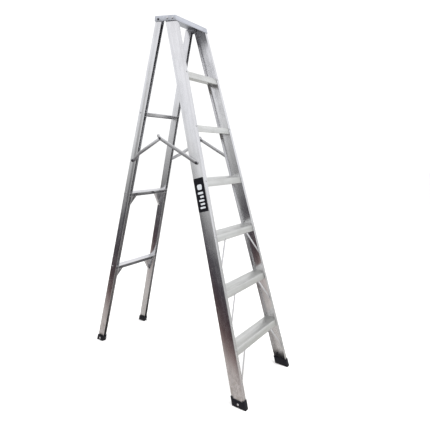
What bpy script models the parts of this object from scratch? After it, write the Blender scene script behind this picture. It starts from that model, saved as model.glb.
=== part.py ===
"""Folding aluminium step ladder: a front frame with six treads and a top cap, a hinged rear frame
with three rungs, and a two-bar folding spreader on each side.

Metres, +Z up, the treads face -Y and the ladder stands open on Z = 0, centred on X = 0 and Y = 0.
"""
import math

import bmesh
import bpy
from mathutils import Matrix, Vector

# ---------------------------------------------------------------- driving dimensions (metres)
GAP = 0.0003                    # between pieces that touch

STEP_COUNT = 6
FIRST_STEP_TOP = 0.297          # top of the lowest tread above the floor
STEP_RISE = 0.290               # tread to tread
CAP_RISE = 0.298                # top tread to the top of the cap
BASE_DEPTH = 1.163              # front of the front stiles to the back of the rear stiles, on the floor
FRONT_LEAN = math.radians(19.78)

FRONT_FOOT_WIDTH = 0.6036       # over the front stiles, on the floor
REAR_FOOT_WIDTH = 0.4478        # over the rear stiles, on the floor
TOP_WIDTH = 0.316               # over both pairs of stiles, at the cap

FRONT_DEPTH, FRONT_FLANGE, STILE_WALL = 0.074, 0.025, 0.0022
REAR_DEPTH, REAR_FLANGE = 0.0445, 0.026
FOLDED_GAP = 0.0187             # between the stiles when the rear frame is folded away

STEP_LIP, STEP_WALL = 0.038, 0.0020
RUNG_LIP, RUNG_WALL = 0.022, 0.0016
RUNG_HEIGHTS = (0.527, 1.013, 1.505)     # front top edges of the rear rungs above the floor

CAP_LIP, CAP_WALL = 0.030, 0.0020
CAP_SIDE_PLAY = 0.0012          # between a stile and the cap's end flange, at the flange's edge
CAP_REAR_MARGIN = 0.0247        # behind the hinge
PIVOT_DROP = 0.019              # hinge below the top of the cap
STILE_ABOVE_PIVOT = 0.009       # rear stile that goes on above its hinge

FRONT_FOOT_HEIGHT, REAR_FOOT_HEIGHT = 0.037, 0.032       # along the sides
FRONT_FOOT_LUG, REAR_FOOT_LUG = 0.046, 0.039              # at the front and at the back
FOOT_LUG_LENGTH = 0.012
FOOT_WALL, FOOT_SOLE, FOOT_CORNER = 0.0038, 0.005, 0.005

BRACE_WIDTH, BRACE_THICKNESS = 0.013, 0.0018
STEP_BRACE_INSET = 0.088        # rivet on the tread, in from the stile's flange
STEP_BRACE_DROP = 0.158         # lower rivet below the upper one
STEP_BRACE_LEVEL = 0.023        # upper rivet below the top of the tread
STEP_BRACE_EDGE = 0.0135        # lower rivet in from the outside of the web
BRACED_STEPS = (1, 2, 3)

GUSSET_REACH, GUSSET_DROP = 0.080, 0.135     # along the rung from the flange, and down the stile
GUSSET_THICKNESS, GUSSET_LIP = 0.0018, 0.018
GUSSET_EDGE = 0.008             # width of the plate where its slope ends
GUSSET_LEVEL = 0.004            # top of the plate below the top of the rung
GUSSETED_RUNGS = (1, 2)

BAR_WIDTH, BAR_THICKNESS = 0.020, 0.0030
BAR_EAR = 0.018                 # front bar that goes on past the middle joint
EAR_TURN = math.radians(27)     # and turns upward there
FRONT_PIVOT_HEIGHT, REAR_PIVOT_HEIGHT = 1.255, 1.217
MIDDLE_PIVOT = (0.163, 1.367)   # Y and Z of the joint between the two bars
FRONT_PIVOT_SETBACK = 0.031     # from the front face of the stile
WASHER_THICKNESS, WASHER_RADIUS = 0.0020, 0.008
WASHER_STANDOFF = 0.0009        # the web leans under the washer, which stays upright
BAR_PLAY = 0.0006               # between the two bars at the middle joint
JOGGLE_START, JOGGLE_LENGTH = 0.022, 0.065

RIVET_RADIUS, RIVET_HEAD_RADIUS, RIVET_HEAD = 0.0030, 0.0065, 0.0032
BOLT_RADIUS, BOLT_HEAD_RADIUS, BOLT_HEAD = 0.0040, 0.0080, 0.0048
TAIL_LENGTH = 0.004             # rivet that goes on inside a foot
CAP_RIVET_SHARES = (0.27, 0.72)     # places of the two cap rivets across a stile's depth
CAP_RIVET_LEVEL = 0.0156        # below the top of the cap
GRIP_SLACK = 0.0010             # between the tail of a fastener and the sheet it holds
HOLE_LENGTH = 0.04              # long enough for a drill to pass a piece and its leaning face

LABEL_LENGTH, LABEL_WIDTH, LABEL_THICKNESS = 0.188, 0.064, 0.0005
LABEL_HEIGHT = 1.085            # middle of the label above the floor
LABEL_SETBACK = 0.0405           # middle of the label behind the stile's front face

# ---------------------------------------------------------------- worked out from them
CAP_TOP = FIRST_STEP_TOP + (STEP_COUNT - 1) * STEP_RISE + CAP_RISE
PIVOT_Z = CAP_TOP - PIVOT_DROP
FRONT_TO_PIVOT = FRONT_DEPTH + FOLDED_GAP + REAR_DEPTH / 2
PIVOT_Y = (-BASE_DEPTH / 2 + PIVOT_Z * math.tan(FRONT_LEAN)
           + FRONT_TO_PIVOT / math.cos(FRONT_LEAN))
PIVOT = Vector((0, PIVOT_Y, PIVOT_Z))
REAR_LEAN = (math.atan2(BASE_DEPTH / 2 - PIVOT_Y, PIVOT_Z)
             - math.asin(REAR_DEPTH / 2 / math.hypot(BASE_DEPTH / 2 - PIVOT_Y, PIVOT_Z)))

# Each frame has its own flat axes: X across, Y through its depth, Z up along its slope.
FRONT = Matrix.Translation((0, -BASE_DEPTH / 2, 0)) @ Matrix.Rotation(-FRONT_LEAN, 4, "X")
REAR = (Matrix.Translation((0, BASE_DEPTH / 2, 0)) @ Matrix.Rotation(REAR_LEAN, 4, "X")
        @ Matrix.Translation((0, -REAR_DEPTH, 0)))
ACROSS = Matrix(((0, 0, 1, 0), (1, 0, 0, 0), (0, 1, 0, 0), (0, 0, 0, 1)))   # outline in Y and Z

SIDES = (("left", -1), ("right", 1))


def frame_taper(foot_width, lean):
    """Angle by which a stile leans inward within the plane of its frame."""
    return math.atan((foot_width - TOP_WIDTH) / 2 / CAP_TOP * math.cos(lean))


FRONT_TAPER = frame_taper(FRONT_FOOT_WIDTH, FRONT_LEAN)
REAR_TAPER = frame_taper(REAR_FOOT_WIDTH, REAR_LEAN)


def stile_matrix(frame, foot_width, taper, side):
    """Axes of a stile: X outward from the outer face of its web, Y through its depth, Z along it."""
    corner = Matrix.Translation((side * foot_width / 2, 0, 0))
    return frame @ corner @ Matrix.Rotation(-side * taper, 4, "Y")


def front_axes(side):
    return stile_matrix(FRONT, FRONT_FOOT_WIDTH, FRONT_TAPER, side)


def rear_axes(side):
    return stile_matrix(REAR, REAR_FOOT_WIDTH, REAR_TAPER, side)


def slope_length(axes, y, height):
    """Distance along a stile or frame at which a line at depth y reaches a height above the floor."""
    start = axes @ Vector((0, y, 0))
    rise = (axes.to_3x3() @ Vector((0, 0, 1))).z
    return (height - start.z) / rise


# ---------------------------------------------------------------- scene, collections and materials
def clear_scene():
    for leftover in list(bpy.data.objects):
        bpy.data.objects.remove(leftover, do_unlink=True)


def new_collection(name):
    collection = bpy.data.collections.new(name)
    bpy.context.scene.collection.children.link(collection)
    return collection


def new_material(name, colour, roughness, metallic):
    material = bpy.data.materials.new(name)
    material.use_nodes = True
    shader = material.node_tree.nodes["Principled BSDF"]
    shader.inputs["Base Color"].default_value = (*colour, 1.0)
    shader.inputs["Roughness"].default_value = roughness
    shader.inputs["Metallic"].default_value = metallic
    return material


FINISHES = {
    "aluminium": ((0.78, 0.79, 0.80), 0.32, 1.0),
    "tread": ((0.70, 0.71, 0.70), 0.42, 1.0),
    "rubber": ((0.02, 0.02, 0.022), 0.70, 0.0),
    "steel": ((0.55, 0.56, 0.58), 0.35, 1.0),
    "dark_steel": ((0.10, 0.10, 0.11), 0.45, 1.0),
    "label": ((0.02, 0.02, 0.025), 0.40, 0.0),
}

clear_scene()
PARTS = new_collection("step_ladder")
CUTTERS = new_collection("cutters")


# ---------------------------------------------------------------- modelling helpers
def outline_mesh(name, outline, thickness, holes=()):
    """Flat outline with round holes, thickened to both sides of its plane, as one closed mesh."""
    curve = bpy.data.curves.new(name, "CURVE")
    curve.dimensions = "2D"
    curve.fill_mode = "BOTH"
    curve.extrude = thickness / 2
    for points in (outline, *holes):
        spline = curve.splines.new("POLY")
        spline.points.add(len(points) - 1)
        for point, (x, y) in zip(spline.points, points):
            point.co = (x, y, 0, 1)
        spline.use_cyclic_u = True
    flat = bpy.data.objects.new(name, curve)
    bpy.context.scene.collection.objects.link(flat)
    mesh = bpy.data.meshes.new_from_object(flat.evaluated_get(bpy.context.evaluated_depsgraph_get()))
    bpy.data.objects.remove(flat)
    bpy.data.curves.remove(curve)
    mesh.name = name
    body = bmesh.new()
    body.from_mesh(mesh)
    bmesh.ops.remove_doubles(body, verts=body.verts, dist=1e-6)
    bmesh.ops.recalc_face_normals(body, faces=body.faces)
    body.to_mesh(mesh)
    body.free()
    return mesh


def place(name, mesh, matrix, finish=None, parent=None):
    """Object for a mesh: a named piece with its own material, or a hidden cutter without a finish."""
    piece = bpy.data.objects.new(name, mesh)
    (PARTS if finish else CUTTERS).objects.link(piece)
    piece.matrix_world = matrix
    if finish:
        mesh.materials.clear()
        mesh.materials.append(new_material(name, *FINISHES[finish]))
    else:
        piece.hide_render = True
        piece.display_type = "WIRE"
    if parent:
        piece.parent = parent
        piece.matrix_parent_inverse = parent.matrix_world.inverted()
    return piece


def cut_off(piece, point, normal):
    """Cut a piece by a plane in world space, and take away the side that the normal points to."""
    inverse = piece.matrix_world.inverted()
    body = bmesh.new()
    body.from_mesh(piece.data)
    bmesh.ops.bisect_plane(
        body, geom=body.verts[:] + body.edges[:] + body.faces[:], dist=1e-7,
        plane_co=inverse @ Vector(point), plane_no=inverse.to_3x3() @ Vector(normal), clear_outer=True)
    rim = [edge for edge in body.edges if edge.is_boundary]
    bmesh.ops.holes_fill(body, edges=rim, sides=0)
    bmesh.ops.recalc_face_normals(body, faces=body.faces)
    body.to_mesh(piece.data)
    body.free()


def combine(piece, other, operation):
    """Exact Boolean, kept as a modifier."""
    modifier = piece.modifiers.new(other.name, "BOOLEAN")
    modifier.operation = operation
    modifier.solver = "EXACT"
    modifier.object = other


def cut_away(piece, cutter):
    combine(piece, cutter, "DIFFERENCE")


def arc(centre, radius, start, end, segments):
    """Points along an arc in a plane, ends included, angles in degrees."""
    steps = [math.radians(start + (end - start) * index / segments) for index in range(segments + 1)]
    return [(centre[0] + radius * math.cos(a), centre[1] + radius * math.sin(a)) for a in steps]


def circle(centre, radius, segments=20):
    return arc(centre, radius, 0, 360, segments)[:-1]


def drill(piece, point, radius, length, name):
    """Round hole along X, centred on a point in world space."""
    mesh = outline_mesh(name, circle((0, 0), radius), length)
    cut_away(piece, place(name, mesh, Matrix.Translation(point) @ ACROSS))


def slot(length, width):
    """Strap outline along X with round ends; the hole centres lie at 0 and at length."""
    radius = width / 2
    return arc((length, 0), radius, -90, 90, 8) + arc((0, 0), radius, 90, 270, 8)


def eared_slot(length, width, ear, turn):
    """Strap outline that goes on past length and turns to +Y there, with round ends."""
    radius = width / 2
    tip = (length + ear * math.cos(turn), ear * math.sin(turn))
    bend = radius * math.tan(turn / 2)
    angle = math.degrees(turn)
    inner_corner = (length - bend, radius)
    outer_corner = (length + bend, -radius)
    return ([outer_corner] + arc(tip, radius, angle - 90, angle + 90, 8) + [inner_corner]
            + arc((0, 0), radius, 90, 270, 8))


def channel(depth, flange, wall, side, grow=0.0):
    """C-section of a stile with its web at X = 0 and its flanges pointing inward."""
    inner = -flange - grow
    points = [(grow, -grow), (grow, depth + grow), (inner, depth + grow), (inner, depth - wall - grow),
              (-wall - grow, depth - wall - grow), (-wall - grow, wall + grow), (inner, wall + grow),
              (inner, -grow)]
    return [(side * x, y) for x, y in points]


def folded_strip(depth, lip, wall, slope):
    """Tread section in Y and Z: a flat top that rises by the slope, with a lip down at each edge."""
    def at(y, drop):
        return (y, y * slope - drop)
    return [at(0, 0), at(depth, 0), at(depth, lip), at(depth - wall, lip), at(depth - wall, wall),
            at(wall, wall), at(wall, lip), at(0, lip)]


def turned(name, profile, matrix, finish, parent):
    """Solid of revolution from (radius, height) points, top to bottom, its axis along local Z."""
    mesh = bpy.data.meshes.new(name)
    mesh.from_pydata([(radius, 0, height) for radius, height in profile],
                     [(index, index + 1) for index in range(len(profile) - 1)], [])
    piece = place(name, mesh, matrix, finish, parent)
    screw = piece.modifiers.new("turn", "SCREW")
    screw.steps = screw.render_steps = 16
    screw.use_merge_vertices = True
    screw.merge_threshold = 1e-5
    screw.use_smooth_shade = True
    return piece


def fastener(name, outer, side, grip, radius, head_radius, head, tail_head, finish, parent):
    """Headed pin along X: the head sits on the point, and the shank runs inward through the grip."""
    profile = [(0, head), (head_radius * 0.62, head * 0.86), (head_radius, head * 0.30),
               (head_radius, 0), (radius, 0), (radius, -grip)]
    if tail_head:
        profile += [(head_radius * 0.9, -grip), (head_radius * 0.9, -grip - tail_head * 0.5),
                    (head_radius * 0.5, -grip - tail_head)]
    profile += [(0, profile[-1][1])]
    outward = Matrix.Rotation(side * math.radians(90), 4, "Y")
    return turned(name, profile, Matrix.Translation(outer) @ outward, finish, parent)


def empty(name, location):
    axis = bpy.data.objects.new(name, None)
    PARTS.objects.link(axis)
    axis.location = location
    bpy.context.view_layer.update()
    return axis


# ---------------------------------------------------------------- stiles, treads and rungs
def web_point(axes, y, height, outward=0.0):
    """World point on a stile's outer web face, at a depth and a height above the floor."""
    return axes @ Vector((outward, y, slope_length(axes, y, height)))


def make_stile(name, axes, side, depth, flange, top_cut, parent):
    """Channel cut level at the floor, and at its top by the given plane."""
    length = 2 * CAP_TOP
    mesh = outline_mesh(name, channel(depth, flange, STILE_WALL, side), 2 * length)
    stile = place(name, mesh, axes, "aluminium", parent)
    cut_off(stile, (0, 0, FOOT_SOLE + GAP), (0, 0, -1))
    cut_off(stile, *top_cut)
    return stile


def between_webs(piece, axes_of):
    """Cut both ends of a cross piece to fit against the inner faces of the two webs."""
    for _, side in SIDES:
        axes = axes_of(side)
        inner = axes @ Vector((-side * (STILE_WALL + GAP), 0, 0))
        cut_off(piece, inner, axes.to_3x3() @ Vector((side, 0, 0)))


def make_cross_piece(name, frame, axes_of, depth, height, lip, wall, slope, finish, parent):
    """Tread or rung that fits inside both channels, its front top edge at a height."""
    inset = STILE_WALL + GAP
    mesh = outline_mesh(name, folded_strip(depth - 2 * inset, lip, wall, slope), FRONT_FOOT_WIDTH)
    corner = Matrix.Translation((0, inset, slope_length(frame, inset, height)))
    piece = place(name, mesh, frame @ corner @ ACROSS, finish, parent)
    between_webs(piece, axes_of)
    return piece


def make_brace(name, upper, lower, across, parent):
    """Flat strap whose two rivet holes lie at the points; it faces along the across direction."""
    along = (lower - upper).normalized()
    facing = (across - along * across.dot(along)).normalized()
    sideways = facing.cross(along)
    matrix = Matrix.Translation(upper) @ Matrix((along, sideways, facing)).transposed().to_4x4()
    mesh = outline_mesh(name, slot((lower - upper).length, BRACE_WIDTH), BRACE_THICKNESS)
    return place(name, mesh, matrix, "aluminium", parent)


def make_front_braces(number, height, parent):
    """Straps behind the front lip of a tread, down to the inside of the front flanges."""
    behind_lip = STILE_WALL + GAP + STEP_WALL + 2 * GAP + BRACE_THICKNESS / 2
    behind_flange = STILE_WALL + GAP + BRACE_THICKNESS / 2
    for word, side in SIDES:
        axes = front_axes(side)
        top = slope_length(axes, 0, height) - STEP_BRACE_LEVEL
        upper = axes @ Vector((-side * (FRONT_FLANGE + STEP_BRACE_INSET), behind_lip, top))
        lower = axes @ Vector((-side * STEP_BRACE_EDGE, behind_flange, top - STEP_BRACE_DROP))
        depth_way = axes.to_3x3() @ Vector((0, 1, 0))
        make_brace(f"step_brace_{number}_{word}", upper, lower, depth_way, parent)


def make_gussets(number, height, parent):
    """Corner plates ahead of the rear lip of a rung, with a folded lip along the sloping edge."""
    half = GUSSET_THICKNESS / 2
    ahead_of_lip = REAR_DEPTH - (STILE_WALL + GAP + RUNG_WALL + 2 * GAP + half)
    ahead_of_flange = REAR_DEPTH - (STILE_WALL + GAP + half)
    inside_web = STILE_WALL + 2 * GAP
    for word, side in SIDES:
        axes = rear_axes(side)
        top = slope_length(axes, 0, height) - GUSSET_LEVEL
        upper = axes @ Vector((-side * inside_web, ahead_of_lip, top))
        lower = axes @ Vector((-side * inside_web, ahead_of_flange, top - GUSSET_DROP))
        down = (lower - upper).normalized()
        inward = axes.to_3x3() @ Vector((-side, 0, 0))
        facing = inward.cross(down)
        matrix = Matrix.Translation(upper) @ Matrix((inward, down, facing)).transposed().to_4x4()
        reach, drop = REAR_FLANGE + GUSSET_REACH, (lower - upper).length
        slope_top, slope_foot = Vector((reach, GUSSET_EDGE)), Vector((GUSSET_EDGE, drop))
        outline = [(0, 0), (reach, 0), slope_top, slope_foot, (0, drop)]
        name = f"rear_gusset_{number}_{word}"
        plate = place(name, outline_mesh(name, outline, GUSSET_THICKNESS), matrix, "aluminium", parent)
        along = (slope_foot - slope_top).normalized()
        inner = Vector((-along.y, along.x)) * GUSSET_THICKNESS
        strip = [slope_top, slope_foot, slope_foot + inner, slope_top + inner]
        ahead = -math.copysign(1, facing.dot(axes.to_3x3() @ Vector((0, 1, 0))))
        lip_mesh = outline_mesh(name + "_lip", strip, GUSSET_LIP)
        lift = Matrix.Translation((0, 0, ahead * (GUSSET_LIP / 2 - half)))
        combine(plate, place(name + "_lip", lip_mesh, matrix @ lift), "UNION")


# ---------------------------------------------------------------- feet
def foot_outline(depth, flange, side):
    """Outline of a shoe round a channel, with rounded corners."""
    wall = FOOT_WALL
    corners = [((wall, -wall), 270), ((wall, depth + wall), 0), ((-flange - wall, depth + wall), 90),
               ((-flange - wall, -wall), 180)]
    outline = []
    for (x, y), start in corners:
        centre = (x - math.copysign(FOOT_CORNER, x), y - math.copysign(FOOT_CORNER, y))
        outline += arc(centre, FOOT_CORNER, start, start + 90, 4)
    return [(side * x, y) for x, y in outline]


def make_foot(name, axes, side, depth, flange, height, lug, stile, parent):
    """Shoe with a pocket for the end of a channel, its sole and top level, and its rivet."""
    length = 4 * lug
    foot = place(name, outline_mesh(name, foot_outline(depth, flange, side), length), axes, "rubber",
                 parent)
    cut_off(foot, (0, 0, 0), (0, 0, -1))
    cut_off(foot, (0, 0, lug), (0, 0, 1))
    pocket_mesh = outline_mesh(name + "_pocket", channel(depth, flange, STILE_WALL, side, GAP), 2 * length)
    pocket = place(name + "_pocket", pocket_mesh, axes @ Matrix.Translation((0, 0, length)))
    cut_off(pocket, (0, 0, FOOT_SOLE), (0, 0, -1))
    cut_away(foot, pocket)
    low_start, low_end = FOOT_LUG_LENGTH - FOOT_WALL, depth + FOOT_WALL - FOOT_LUG_LENGTH
    notch_mesh = outline_mesh(name + "_notch", [(-length, low_start), (length, low_start),
                                                (length, low_end), (-length, low_end)], length)
    notch = place(name + "_notch", notch_mesh, axes @ Matrix.Translation((0, 0, lug)))
    cut_off(notch, (0, 0, height), (0, 0, -1))
    cut_away(foot, notch)
    outer_x = side * (FOOT_WALL + 2 * GAP)
    outer = axes @ Vector((outer_x, depth / 2, slope_length(axes, depth / 2, height / 2)))
    grip = FOOT_WALL + STILE_WALL + TAIL_LENGTH
    for target in (foot, stile):
        drill(target, outer, RIVET_RADIUS + GAP, 2 * (grip + GAP), f"{name}_hole_in_{target.name}")
    fastener(f"{name}_rivet", outer, side, grip, RIVET_RADIUS, RIVET_HEAD_RADIUS, RIVET_HEAD, 0,
             "steel", parent)
    return foot


# ---------------------------------------------------------------- cap
def make_cap(parent):
    """Tray over the tops of the stiles: top plate, front lip along the stiles and two end flanges."""
    half_width = (TOP_WIDTH / 2 + CAP_LIP * math.tan(FRONT_TAPER) / math.cos(FRONT_LEAN)
                  + CAP_SIDE_PLAY + CAP_WALL)
    rear = PIVOT_Y + CAP_REAR_MARGIN

    def section(front_depth, top, bottom, back):
        upper = FRONT @ Vector((0, front_depth, slope_length(FRONT, front_depth, top)))
        lower = FRONT @ Vector((0, front_depth, slope_length(FRONT, front_depth, bottom)))
        return [(upper.y, top), (back, top), (back, bottom), (lower.y, bottom)]

    outside = section(-(GAP + CAP_WALL), CAP_TOP, CAP_TOP - CAP_LIP, rear)
    inside = section(-GAP, CAP_TOP - CAP_WALL, CAP_TOP - 2 * CAP_LIP, rear + CAP_LIP)
    cap = place("top_cap", outline_mesh("top_cap", outside, 2 * half_width), ACROSS, "tread", parent)
    hollow = outline_mesh("top_cap_hollow", inside, 2 * (half_width - CAP_WALL))
    cut_away(cap, place("top_cap_hollow", hollow, ACROSS))
    return cap, half_width


def make_cap_fasteners(cap, half_width, stiles, rear_stiles, parent):
    """Two rivets through each front stile, and the pin on which each rear stile turns."""
    level = CAP_TOP - CAP_RIVET_LEVEL
    for word, side in SIDES:
        axes = front_axes(side)
        for number, share in enumerate(CAP_RIVET_SHARES, start=1):
            on_web = web_point(axes, FRONT_DEPTH * share, level)
            outer = Vector((side * (half_width + GAP), on_web.y, on_web.z))
            grip = abs(outer.x - on_web.x) + STILE_WALL + 2 * GAP + RIVET_RADIUS * math.tan(FRONT_TAPER)
            name = f"cap_rivet_{word}_{number}"
            drill(cap, outer, RIVET_RADIUS + GAP, HOLE_LENGTH, name + "_hole_in_cap")
            drill(stiles[side], outer, RIVET_RADIUS + GAP, HOLE_LENGTH, name + "_hole_in_stile")
            fastener(name, outer, side, grip + GRIP_SLACK, RIVET_RADIUS, RIVET_HEAD_RADIUS, RIVET_HEAD,
                     RIVET_HEAD / 2, "steel", parent)
        on_web = web_point(rear_axes(side), REAR_DEPTH / 2, PIVOT_Z)
        outer = Vector((side * (half_width + GAP), PIVOT_Y, PIVOT_Z))
        grip = abs(outer.x - on_web.x) + STILE_WALL + GRIP_SLACK
        name = f"hinge_pin_{word}"
        drill(cap, outer, RIVET_RADIUS + GAP, HOLE_LENGTH, name + "_hole_in_cap")
        drill(rear_stiles[side], outer, RIVET_RADIUS + GAP, HOLE_LENGTH, name + "_hole_in_stile")
        fastener(name, outer, side, grip, RIVET_RADIUS, RIVET_HEAD_RADIUS, RIVET_HEAD,
                 RIVET_HEAD / 2, "dark_steel", parent)


# ---------------------------------------------------------------- spreaders
def bar_matrix(start, end):
    """Axes of a bar: X along it, Z along world X."""
    along = (end - start).normalized()
    sideways = Vector((1, 0, 0)).cross(along)
    return Matrix.Translation(start) @ Matrix((along, sideways, Vector((1, 0, 0)))).transposed().to_4x4()


def flat_bar(name, start, end, parent):
    """Straight bar with its ear, a hole at each joint; its middle plane holds both points."""
    length = (end - start).length
    holes = (circle((0, 0), BOLT_RADIUS + GAP), circle((length, 0), RIVET_RADIUS + GAP))
    outline = eared_slot(length, BAR_WIDTH, BAR_EAR, EAR_TURN)
    mesh = outline_mesh(name, outline, BAR_THICKNESS, holes)
    return place(name, mesh, bar_matrix(start, end), "aluminium", parent)


def joggled_bar(name, start, end, parent):
    """Bar that steps sideways along its length, so that its ends lie in two planes."""
    step = end.x - start.x
    flat_end = Vector((start.x, end.y, end.z))
    length = (flat_end - start).length
    joggle_end = JOGGLE_START + JOGGLE_LENGTH
    half = BAR_THICKNESS / 2
    centre_line = [(-BAR_WIDTH, 0), (JOGGLE_START, 0), (joggle_end, step), (length + BAR_WIDTH, step)]
    strip = [(x, y + half) for x, y in centre_line] + [(x, y - half) for x, y in reversed(centre_line)]
    upright = Matrix(((1, 0, 0, 0), (0, 0, -1, 0), (0, 1, 0, 0), (0, 0, 0, 1)))
    axes = bar_matrix(start, flat_end)
    mesh = outline_mesh(name, strip, 2 * BAR_WIDTH)
    mesh.transform(upright)
    bar = place(name, mesh, axes, "aluminium", parent)
    holes = (circle((0, 0), BOLT_RADIUS + GAP), circle((length, 0), RIVET_RADIUS + GAP))
    outline = outline_mesh(name + "_outline", slot(length, BAR_WIDTH), 4 * abs(step) + BAR_WIDTH, holes)
    combine(bar, place(name + "_outline", outline, axes), "INTERSECT")
    return bar


def make_spreader(word, side, stiles, rear_stiles, front_parent, rear_parent):
    """Two bars, their pivot bolts and washers, and the two halves of the middle joint."""
    front_y = slope_length(FRONT, FRONT_PIVOT_SETBACK, FRONT_PIVOT_HEIGHT)
    front = FRONT @ Vector((0, FRONT_PIVOT_SETBACK, front_y))
    rear = REAR @ Vector((0, REAR_DEPTH / 2, slope_length(REAR, REAR_DEPTH / 2, REAR_PIVOT_HEIGHT)))
    middle = Vector((0, *MIDDLE_PIVOT))
    front_web = abs(web_point(front_axes(side), FRONT_PIVOT_SETBACK, FRONT_PIVOT_HEIGHT).x)
    rear_web = abs(web_point(rear_axes(side), REAR_DEPTH / 2, REAR_PIVOT_HEIGHT).x)
    off_web = WASHER_STANDOFF + WASHER_THICKNESS + GAP + BAR_THICKNESS / 2
    front_plane = front_web + off_web
    rear_plane = rear_web + off_web
    inner_plane = front_plane - BAR_THICKNESS - BAR_PLAY

    def shifted(point, x):
        return Vector((side * x, point.y, point.z))

    axes_front = empty(f"spreader_front_axis_{word}", shifted(front, front_plane))
    axes_rear = empty(f"spreader_rear_axis_{word}", shifted(rear, rear_plane))
    axes_front.parent, axes_rear.parent = front_parent, rear_parent
    axes_front.matrix_parent_inverse = front_parent.matrix_world.inverted()
    axes_rear.matrix_parent_inverse = rear_parent.matrix_world.inverted()
    bpy.context.view_layer.update()
    flat_bar(f"spreader_front_bar_{word}", shifted(front, front_plane), shifted(middle, front_plane),
             axes_front)
    joggled_bar(f"spreader_rear_bar_{word}", shifted(rear, rear_plane), shifted(middle, inner_plane),
                axes_rear)

    for end, pivot, web, plane, target, parent in (
            ("front", front, front_web, front_plane, stiles[side], front_parent),
            ("rear", rear, rear_web, rear_plane, rear_stiles[side], rear_parent)):
        hole = circle((0, 0), BOLT_RADIUS + GAP)
        ring = outline_mesh(f"{end}_washer_{word}", circle((0, 0), WASHER_RADIUS, 24),
                            WASHER_THICKNESS, (hole,))
        seat = shifted(pivot, web + WASHER_STANDOFF + WASHER_THICKNESS / 2)
        place(f"{end}_washer_{word}", ring, Matrix.Translation(seat) @ ACROSS, "steel", parent)
        outer = shifted(pivot, plane + BAR_THICKNESS / 2 + GAP)
        drill(target, shifted(pivot, web), BOLT_RADIUS + GAP, HOLE_LENGTH / 2, f"{end}_bolt_hole_{word}")
        grip = abs(outer.x) - web + STILE_WALL + GRIP_SLACK
        fastener(f"{end}_bolt_{word}", outer, side, grip, BOLT_RADIUS, BOLT_HEAD_RADIUS, BOLT_HEAD,
                 BOLT_HEAD / 2, "dark_steel", parent)

    grip = BAR_THICKNESS + GAP
    fastener(f"middle_rivet_{word}", shifted(middle, front_plane + BAR_THICKNESS / 2 + GAP), side, grip,
             RIVET_RADIUS, RIVET_HEAD_RADIUS, RIVET_HEAD, 0, "steel", axes_front)
    fastener(f"middle_rivet_tail_{word}", shifted(middle, inner_plane - BAR_THICKNESS / 2 - GAP), -side,
             grip, RIVET_RADIUS, RIVET_HEAD_RADIUS, RIVET_HEAD, 0, "steel", axes_rear)


# ---------------------------------------------------------------- label
def make_label(parent):
    """Thin plate on the outside of the left front stile, straight along it."""
    axes = front_axes(-1)
    x, y = LABEL_WIDTH / 2, LABEL_LENGTH / 2
    mesh = outline_mesh("side_label", [(-x, -y), (x, -y), (x, y), (-x, y)], LABEL_THICKNESS)
    along = slope_length(axes, LABEL_SETBACK, LABEL_HEIGHT)
    centre = Vector((-(GAP + LABEL_THICKNESS / 2), LABEL_SETBACK, along))
    place("side_label", mesh, axes @ Matrix.Translation(centre) @ ACROSS, "label", parent)


# ---------------------------------------------------------------- the ladder
def make_front_frame(parent):
    top_cut = ((0, 0, CAP_TOP - CAP_WALL - GAP), (0, 0, 1))
    stiles = {}
    for word, side in SIDES:
        axes = front_axes(side)
        stiles[side] = make_stile(f"front_stile_{word}", axes, side, FRONT_DEPTH, FRONT_FLANGE, top_cut,
                                  parent)
        make_foot(f"front_foot_{word}", axes, side, FRONT_DEPTH, FRONT_FLANGE, FRONT_FOOT_HEIGHT,
                  FRONT_FOOT_LUG, stiles[side], parent)
    for number in range(1, STEP_COUNT + 1):
        height = FIRST_STEP_TOP + (number - 1) * STEP_RISE
        make_cross_piece(f"step_{number}", FRONT, front_axes, FRONT_DEPTH, height, STEP_LIP, STEP_WALL,
                         math.tan(FRONT_LEAN), "tread", parent)
        if number in BRACED_STEPS:
            make_front_braces(number, height, parent)
    return stiles


def make_rear_frame(parent):
    pivot_length = slope_length(REAR, REAR_DEPTH / 2, PIVOT_Z)
    end = REAR @ Vector((0, REAR_DEPTH / 2, pivot_length + STILE_ABOVE_PIVOT))
    top_cut = (end, REAR.to_3x3() @ Vector((0, 0, 1)))
    stiles = {}
    for word, side in SIDES:
        axes = rear_axes(side)
        stiles[side] = make_stile(f"rear_stile_{word}", axes, side, REAR_DEPTH, REAR_FLANGE, top_cut,
                                  parent)
        make_foot(f"rear_foot_{word}", axes, side, REAR_DEPTH, REAR_FLANGE, REAR_FOOT_HEIGHT,
                  REAR_FOOT_LUG, stiles[side], parent)
    for number, height in enumerate(RUNG_HEIGHTS, start=1):
        make_cross_piece(f"rear_rung_{number}", REAR, rear_axes, REAR_DEPTH, height, RUNG_LIP, RUNG_WALL,
                         0.0, "aluminium", parent)
        if number in GUSSETED_RUNGS:
            make_gussets(number, height, parent)
    return stiles


def build():
    front_parent = empty("front_frame", (0, 0, 0))
    rear_parent = empty("rear_frame_hinge", PIVOT)
    stiles = make_front_frame(front_parent)
    rear_stiles = make_rear_frame(rear_parent)
    cap, half_width = make_cap(front_parent)
    make_cap_fasteners(cap, half_width, stiles, rear_stiles, front_parent)
    for word, side in SIDES:
        make_spreader(word, side, stiles, rear_stiles, front_parent, rear_parent)
    make_label(front_parent)


build()
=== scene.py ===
# %% [markdown]
# # A folding aluminium step ladder
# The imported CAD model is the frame: it says how large each piece is, where it sits and how it moves.
# This notebook dresses it. Folded channels get rounded bends, every rivet gets its own head, and the
# metal gets the fine lines, smudges and dust that make it look used.

# %% Load the frame
import math

import bmesh
import bpy
from mathutils import Matrix, Vector


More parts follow.
